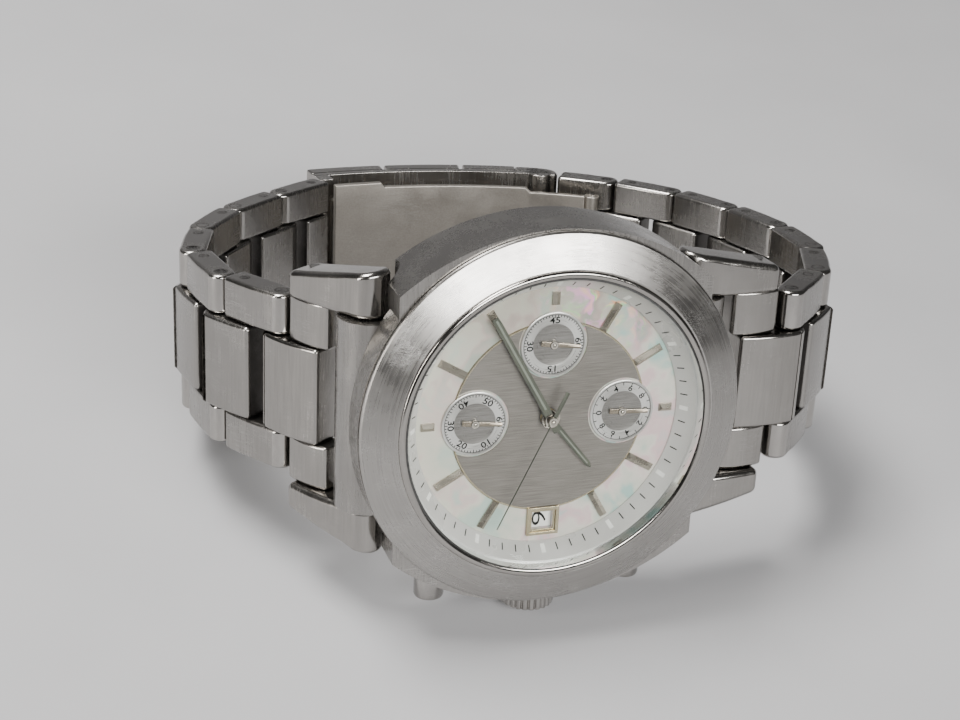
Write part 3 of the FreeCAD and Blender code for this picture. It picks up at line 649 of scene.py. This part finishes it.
def facet_bar(angle, inner, outer):
    """Hour marker: a bar with a sloped roof."""
    along = Vector((math.cos(angle), math.sin(angle)))
    across = Vector((-along.y, along.x)) * MARKER_WIDTH / 2
    corners = ((inner, -1), (outer, -1), (outer, 1), (inner, 1))
    stations = [(reach, hand, level) for level in (0.0, MARKER_SIDE) for reach, hand in corners]
    stations += [(inner + 0.25, 0, MARKER_RIDGE), (outer - 0.15, 0, MARKER_RIDGE)]
    points = []
    for reach, hand, level in stations:
        spot = along * reach + across * hand
        points.append((spot.x, spot.y, level))
    faces = [(3, 2, 1, 0), (0, 1, 5, 4), (1, 2, 6, 5), (2, 3, 7, 6), (3, 0, 4, 7), (4, 5, 9, 8), (5, 6, 9),
             (6, 7, 8, 9), (7, 4, 8)]
    return points, faces, 0


markers = []
for hour in range(1, 13):
    if hour == 3:
        continue
    inner, outer = (11.4, 12.7) if hour in (6, 9, 12) else (9.8, 12.8)
    markers.append(facet_bar(math.radians(-30 * hour), inner, outer))
marker_piece = dial_piece("hour_bars", markers, marker_metal, ("hour_markers",))
for polygon in marker_piece.data.polygons:
    polygon.use_smooth = False

SUBDIALS = {"twelve": (7.45, 0.0), "nine": (0.0, 7.45), "six": (-7.45, 0.0)}
PLATE_TOP = 0.2
plate_profile = [(0.3, 0.0), (3.25, 0.0), (3.25, 0.24), (3.2, 0.27), (3.08, 0.27), (3.02, PLATE_TOP),
                 (2.1, PLATE_TOP), (2.02, 0.17), (0.3, 0.17)]
for name, centre in SUBDIALS.items():
    silver = brushed_face(f"subdial_{name}_silver", (0.44, 0.43, 0.415), (0.62, 0.61, 0.59), 0.30,
                          (1.2, 10.0, 1.0), 0.75, centre, inner=2.05)
    dial_piece(f"subdial_{name}", [lathe(plate_profile, 96, centre)], silver,
               ("subdial_plates",) if name == "twelve" else ())


def number_print(text, place, height, turn, wide=1.25, weight=0.02):
    """A printed number lying on the dial, as mesh points."""
    curve = bpy.data.curves.new("number", "FONT")
    curve.body = text
    curve.size = height / 0.7
    curve.align_x = "CENTER"
    curve.align_y = "CENTER"
    curve.extrude = PRINT / 2
    curve.offset = weight * height
    curve.resolution_u = 3
    holder = bpy.data.objects.new("number", curve)
    bpy.context.scene.collection.objects.link(holder)
    mesh = bpy.data.meshes.new_from_object(holder)
    spot = Matrix.Translation(place) @ Matrix.Rotation(turn, 4, "Z") @ Matrix.Diagonal((wide, 1, 1, 1))
    points = [tuple(spot @ vertex.co) for vertex in mesh.vertices]
    faces = [tuple(polygon.vertices) for polygon in mesh.polygons]
    bpy.data.objects.remove(holder)
    bpy.data.curves.remove(curve)
    bpy.data.meshes.remove(mesh)
    return points, faces, 0


UPRIGHT = math.radians(-90)
DATE_PLACE = 11.0
LABEL_RADIUS, SCALE_RADIUS, TICK_WIDTH, LONG_TICK, SHORT_TICK = 2.4, 2.97, 0.075, 0.3, 0.2
# Labels clockwise from twelve o'clock, those that are turned to stay upright, ticks, long tick step, height.
SCALES = {
    "nine": (("60", "15", "30", "45"), (2,), 60, 5, 0.62),
    "six": (("60", "10", "20", "30", "40", "50"), (2, 3, 4), 60, 5, 0.62),
    "twelve": (("0", "2", "4", "6", "8", "0", "2", "4", "6", "8"), (4, 5, 6), 20, 1, 0.55),
}
print_top = PLATE_TOP + PRINT
circle_profile = [(2.95, PLATE_TOP), (3.0, PLATE_TOP), (3.0, print_top), (2.95, print_top)]
for name, (labels, turned, count, strong, height) in SCALES.items():
    centre = SUBDIALS[name]
    marks = [lathe(circle_profile, 72, centre)]
    for step in range(count):
        inside = SCALE_RADIUS - (SHORT_TICK if step % strong else LONG_TICK)
        marks.append(radial_bar(2 * math.pi * step / count, inside, SCALE_RADIUS, TICK_WIDTH, PLATE_TOP,
                                print_top, centre))
    for index, text in enumerate(labels):
        angle = -2 * math.pi * index / len(labels)
        spot = (centre[0] + LABEL_RADIUS * math.cos(angle), centre[1] + LABEL_RADIUS * math.sin(angle),
                PLATE_TOP + PRINT / 2)
        upside = math.pi if index in turned else 0.0
        marks.append(number_print(text, spot, height, angle + UPRIGHT + upside))
    dial_piece(f"scale_{name}", marks, ink)
date_six = number_print("6", (-0.25, -DATE_PLACE, -0.44), 1.5, UPRIGHT, wide=1.75, weight=-0.012)
finish_piece("date_number", [date_six], DIAL, (ink,), "date_disc")


def rectangle(half_wide, half_tall):
    """Corners of a rectangle about the date window's centre."""
    return [(-half_wide, -half_tall - DATE_PLACE), (half_wide, -half_tall - DATE_PLACE),
            (half_wide, half_tall - DATE_PLACE), (-half_wide, half_tall - DATE_PLACE)]


def frame_step(outer, hole, low, high):
    """Rectangular frame around the date window."""
    points = [(x, y, z) for z in (low, high) for x, y in rectangle(*outer) + rectangle(*hole)]
    faces = []
    for index in range(4):
        after = (index + 1) % 4
        faces += [(8 + index, 8 + after, 12 + after, 12 + index), (index, 4 + index, 4 + after, after),
                  (index, after, 8 + after, 8 + index), (4 + index, 12 + index, 12 + after, 4 + after)]
    return points, faces, 0


gold = brushed_face("date_frame_gold", (0.42, 0.36, 0.23), (0.56, 0.49, 0.34), 0.22, (0.6, 0.6, 0.6), 0.9)
upper_step = frame_step((1.65, 1.5), (1.3, 1.15), 0.0, 0.34)
lower_step = frame_step((1.3, 1.15), (1.1, 0.95), -0.3, 0.16)
dial_piece("date_frame_steps", [upper_step, lower_step], gold, ("date_frame",), bevel=0.05)
edge_profile = [(9.6, 0.0), (9.78, 0.0), (9.78, 0.12), (9.72, 0.165), (9.6, 0.165)]
dial_piece("centre_edge", [lathe(edge_profile, 200)], gold)


# ---------------------------------------------------------------- hands
HAND_PEAK = 0.12


def hand_parts(length, width, tail, low, hub, tail_width, tip):
    """Straight-sided hand with a ridge along local X, its hub and the pin's domed head."""
    sides = [(-tail, tail_width / 2), (-0.3, tail_width / 2), (0.3, width / 2),
             (length * 0.94, width / 2 * 0.9), (length, tip / 2)]
    points, faces = [], []
    edge, peak = low + 0.05, low + HAND_PEAK
    for x, y in sides:
        points += [(x, -y, low), (x, y, low), (x, 0, peak), (x, -y, edge), (x, y, edge)]
    for index in range(len(sides) - 1):
        a, b = index * 5, index * 5 + 5
        faces += [(a, a + 1, b + 1, b), (a + 3, b + 3, b + 2, a + 2), (a + 2, b + 2, b + 4, a + 4),
                  (a, b, b + 3, a + 3), (a + 4, b + 4, b + 1, a + 1)]
    last = (len(sides) - 1) * 5
    faces += [(0, 3, 2, 4, 1), (last, last + 1, last + 4, last + 2, last + 3)]
    collar = [(0.001, low), (hub, low), (hub, low + 0.14), (hub - 0.06, low + 0.19)]
    dome = []
    for angle in range(0, 91, 18):
        turned = math.radians(angle)
        dome.append((0.45 * hub * math.cos(turned) + 0.001, low + 0.19 + 0.3 * hub * math.sin(turned)))
    return [(points, faces, 0), (*lathe(collar + dome, 40)[:2], 1)]


HANDS = (
    # node, dial place, level, clock angle, length, width, tail, tail width, tip width, hub radius and the
    # start, end and width of the luminous strip
    ("hour_hand", (0, 0), 0.62, 50.8, 7.0, 0.62, 1.2, 0.7, 0.22, 0.95, (1.2, 6.4, 0.14)),
    ("minute_hand", (0, 0), 0.95, 240.0, 12.4, 0.82, 1.4, 0.9, 0.62, 0.75, (1.4, 12.2, 0.2)),
    ("chrono_seconds_hand", (0, 0), 1.3, 115.0, 12.0, 0.13, 3.2, 0.42, 0.09, 0.5, None),
    ("minute_counter_hand", (0, 7.45), 0.28, 8.0, 2.7, 0.42, 1.3, 0.5, 0.36, 0.42, None),
    ("small_seconds_hand", (-7.45, 0), 0.28, 6.0, 2.7, 0.42, 1.3, 0.5, 0.36, 0.42, None),
    ("fraction_hand", (7.45, 0), 0.28, 4.0, 2.7, 0.42, 1.3, 0.5, 0.36, 0.42, None),
)
for node, place, level, clock, length, width, tail, tail_width, tip, hub, strip in HANDS:
    matrix = DIAL @ Matrix.Translation((*place, 0)) @ Matrix.Rotation(math.radians(-clock), 4, "Z")
    parts = hand_parts(length, width, tail, level, hub, tail_width, tip)
    foot = disc(min(hub, 0.7) * 0.55, -0.6, level, steps=24, slot=1)
    metal = taupe_metal if place != (0, 0) else hand_metal
    finish_piece(node + "_blade", parts + [foot], matrix, (metal, hub_metal), node, (node,))
    if strip:
        start, end, wide = strip
        bar = radial_bar(0.0, start, end, wide, level + 0.08, level + 0.15)
        finish_piece(node + "_lume", [bar], matrix, (lume,), node)


# ---------------------------------------------------------------- CAD nodes that keep their shape
def repaint(names, material):
    for name in names:
        data = frame["nodes"][name].data
        data.materials.clear()
        data.materials.append(material)


repaint(("case_body",), case_steel)
repaint(("case_back", "battery", "crown_tube", "pusher_tubes", "pusher_springs", "winding_stem",
         "pusher_two_clip", "pusher_four_clip", "setting_lever"), cad_polished)
repaint(("dial_plate",), pearl())
repaint(("dial_centre_disc",), brushed_face("centre_brushed", (0.16, 0.147, 0.13), (0.28, 0.258, 0.235), 0.36,
                                            (0.35, 11.0, 1.0)))
repaint(("date_disc",), plain("date_white", (0.80, 0.80, 0.76), (0.88, 0.88, 0.85), 0.5))
repaint(("crystal_gasket", "case_back_gasket"),
        plain("seal_rubber", (0.02, 0.02, 0.02), (0.05, 0.05, 0.05), 0.6))
repaint(("movement_module",),
        plain("movement_brass", (0.55, 0.45, 0.22), (0.70, 0.60, 0.34), 0.3, metallic=0.95))
repaint(("movement_holder",), plain("holder_plastic", (0.72, 0.72, 0.69), (0.82, 0.82, 0.79), 0.5))
repaint(("spring_bar", "cover_hinge_pin", "fold_hinge_pin", "six_end_pin"), cad_polished)


# ---------------------------------------------------------------- folding clasp, on arcs about one centre
CLASP_X, CLASP_DEPTH = -2.45, -3.1
COVER_LEFT, COVER_HALF, COVER_INNER, COVER_SEAT, COVER_OUTER = -7.7, 8.0, 54.9, 55.9, 58.0
# The cover's forked end: its length in degrees of arc, and half its opening.
FORK, MOUTH = 3.2, 4.4
chain_end = DIAL.inverted() @ pivot("clasp_cover_hinge")
END_ANGLE = math.degrees(math.atan2(chain_end.x - CLASP_X, CLASP_DEPTH - chain_end.z))
LINK_SEAT, FORK_OUTER = COVER_SEAT + 0.01, COVER_OUTER - 0.15


def curved_plate(inner, outer, stations):
    """Plate that follows the clasp's arc: stations are (angle, lower edge, upper edge)."""
    points, faces = [], []
    for angle, low, high in stations:
        sine, cosine = math.sin(math.radians(angle)), math.cos(math.radians(angle))
        for radius, across in ((inner, low), (inner, high), (outer, high), (outer, low)):
            points.append((CLASP_X + radius * sine, across, CLASP_DEPTH - radius * cosine))
    for index in range(len(stations) - 1):
        for side in range(4):
            after = (side + 1) % 4
            faces.append((4 * index + side, 4 * index + after, 4 * index + 4 + after, 4 * index + 4 + side))
    last = 4 * (len(stations) - 1)
    faces += [(3, 2, 1, 0), (last, last + 1, last + 2, last + 3)]
    return points, faces, STEEL


def even(start, end, low, high, steps=16):
    """Evenly spaced stations of one width."""
    return [(start + (end - start) * step / steps, low, high) for step in range(steps + 1)]


def barrel(radius, x, z, low, high):
    """Round bar along the dial's Y axis."""
    points, faces, _ = disc(radius, low, high, steps=40)
    return [(x + px, pz, z + py) for px, py, pz in points], faces, STEEL


NOSE_RADIUS, HINGE_RADIUS = 2.2, 1.5


def cover_nose(low, high):
    """Round end of the cover about its hinge, no thicker than the cover."""
    points, faces, slot = barrel(NOSE_RADIUS, chain_end.x, chain_end.z, low, high)
    kept = []
    for x, y, z in points:
        reach = math.hypot(x - CLASP_X, z - CLASP_DEPTH)
        share = min(max(reach, COVER_INNER + 0.1), FORK_OUTER) / reach
        kept.append((CLASP_X + (x - CLASP_X) * share, y, CLASP_DEPTH + (z - CLASP_DEPTH) * share))
    return kept, faces, slot


def clasp_piece(name, parts, material, body, stands_for, bevel):
    finish_piece(name, parts, DIAL, (material,), body, stands_for, bevel, segments=3)


plain_end = END_ANGLE - FORK
prongs = ((MOUTH, COVER_HALF), (-COVER_HALF, -MOUTH))
cover = [curved_plate(COVER_INNER, COVER_SEAT, even(COVER_LEFT, plain_end, -COVER_HALF, COVER_HALF))]
for low, high in ((5.6, COVER_HALF), (-COVER_HALF, -5.6)):
    cover.append(curved_plate(53.0, COVER_INNER + 0.02, even(COVER_LEFT, COVER_LEFT + 1.8, low, high, 3)))
for low, high in prongs:
    cover.append(curved_plate(COVER_INNER, COVER_SEAT, even(plain_end, END_ANGLE, low, high, 4)))
    cover.append(barrel(HINGE_RADIUS, chain_end.x, chain_end.z, low, high))
clasp_piece("clasp_cover_plate", cover, clasp_steel, "clasp_cover", ("clasp_cover",), 0.1)

third = (END_ANGLE - COVER_LEFT) / 3
top_links = []
for index in range(2):
    start = COVER_LEFT + third * index
    stations = even(start, start + third - 0.4, -COVER_HALF, COVER_HALF, 8)
    top_links.append(curved_plate(LINK_SEAT, COVER_OUTER, stations))
stations = even(COVER_LEFT + third * 2, plain_end, -COVER_HALF, COVER_HALF, 6)
top_links.append(curved_plate(LINK_SEAT, COVER_OUTER, stations))
for low, high in prongs:
    top_links.append(curved_plate(LINK_SEAT, FORK_OUTER, even(plain_end, END_ANGLE, low, high, 6)))
    top_links.append(cover_nose(low, high))
clasp_piece("clasp_top_links", top_links, clasp_steel, "clasp_cover", ("clasp_cover_links",), 0.3)

BLADE_HALF, NECK_HALF, FOLD_HALF = 7.9, 7.35, 6.8
stations = even(-6.6, -0.5, -BLADE_HALF, BLADE_HALF, 6)
stations += [(-0.1, -BLADE_HALF, BLADE_HALF), (0.4, -NECK_HALF, NECK_HALF)]
stations += even(0.8, 20.0, -NECK_HALF, NECK_HALF, 20)
stations += [(20.6, -FOLD_HALF, FOLD_HALF)]
stations += even(21.0, 28.2, -FOLD_HALF, FOLD_HALF, 8)
FOLD_ANGLE, FOLD_RADIUS = math.radians(29.0), 51.35
fold_x = CLASP_X + FOLD_RADIUS * math.sin(FOLD_ANGLE)
fold_z = CLASP_DEPTH - FOLD_RADIUS * math.cos(FOLD_ANGLE)
blade = [curved_plate(50.5, 51.3, stations), barrel(0.9, fold_x, fold_z, 3.1, FOLD_HALF),
         barrel(0.9, fold_x, fold_z, -FOLD_HALF, -3.1)]
clasp_piece("clasp_blade", blade, blade_steel, "clasp_inner_blade", ("clasp_inner_blade",), 0.14)
middle_blade_steel = steel("middle_blade_blasted", (0.38, 0.355, 0.32), 0.36, (5.0, 5.0, 5.0), on_dial=True,
                           seed=5.0, brush=0.0015)
repaint(("clasp_middle_blade",), middle_blade_steel)


# ---------------------------------------------------------------- floor, light and camera
def make_floor():
    """Plain floor that curves up into a back wall."""
    reach, back, rise, bend = 1.2, 0.5, 0.6, 0.2
    outline = [(-reach, 0.0)]
    for angle in range(0, 91, 10):
        turned = math.radians(angle)
        outline.append((back + bend * math.sin(turned), bend - bend * math.cos(turned)))
    outline.append((back + bend, rise))
    points = [(x, y, z) for y, z in outline for x in (-reach, reach)]
    faces = [(2 * i, 2 * i + 1, 2 * i + 3, 2 * i + 2) for i in range(len(outline) - 1)]
    mesh = bpy.data.meshes.new("floor")
    mesh.from_pydata(points, [], faces)
    floor = bpy.data.objects.new("floor", mesh)
    bpy.context.scene.collection.objects.link(floor)
    for polygon in mesh.polygons:
        polygon.use_smooth = True
    graph = Graph("floor_pale")
    place = graph.add("TexCoord").outputs["Object"]
    cloud = graph.noise(place, (30, 30, 30), 4.0)
    tone = graph.blend(cloud, (0.33, 0.33, 0.34, 1), (0.40, 0.40, 0.41, 1))
    mesh.materials.append(graph.surface(Base_Color=tone, Roughness=0.75))


def area_light(name, place, aim, size, power, colour):
    data = bpy.data.lights.new(name, "AREA")
    data.shape = "RECTANGLE"
    data.size, data.size_y = size
    data.energy = power
    data.color = colour
    light = bpy.data.objects.new(name, data)
    light.location = place
    light.rotation_euler = (Vector(aim) - Vector(place)).to_track_quat("-Z", "Y").to_euler()
    bpy.context.scene.collection.objects.link(light)


make_floor()
area_light("top", (-0.16, 0.10, 0.46), (0, 0, 0.02), (0.26, 0.16), 4.2, (1.0, 0.985, 0.96))
area_light("left", (-0.50, -0.14, 0.16), (0, 0, 0.02), (0.10, 0.36), 2.0, (1.0, 0.96, 0.91))
area_light("front", (0.08, -0.47, 0.29), (0, 0, 0.03), (0.40, 0.17), 4.5, (1.0, 0.99, 0.975))
world = bpy.data.worlds.new("studio")
world.use_nodes = True
world.node_tree.nodes["Background"].inputs[0].default_value = (0.66, 0.65, 0.64, 1)
world.node_tree.nodes["Background"].inputs[1].default_value = 0.11
bpy.context.scene.world = world

# Camera, the point of the dial that it aims at and the dial direction that is up, in dial millimetres.
EYE, AIM, UP = Vector((-56.05, 66.79, 144.04)), Vector((-7.164, 6.377, 0)), Vector((-0.0466, 1, 0))
turn = DIAL.to_3x3().normalized()
look = (turn @ (AIM - EYE)).normalized()
right = look.cross(turn @ UP).normalized()
camera_data = bpy.data.cameras.new("camera")
camera_data.sensor_width = 36.0
camera_data.lens = 66.05
camera_data.clip_start = 0.005
camera = bpy.data.objects.new("camera", camera_data)
camera.matrix_world = Matrix.Translation(DIAL @ EYE) @ Matrix(
    (right, right.cross(look), -look)).transposed().to_4x4()
bpy.context.scene.collection.objects.link(camera)
bpy.context.scene.camera = camera
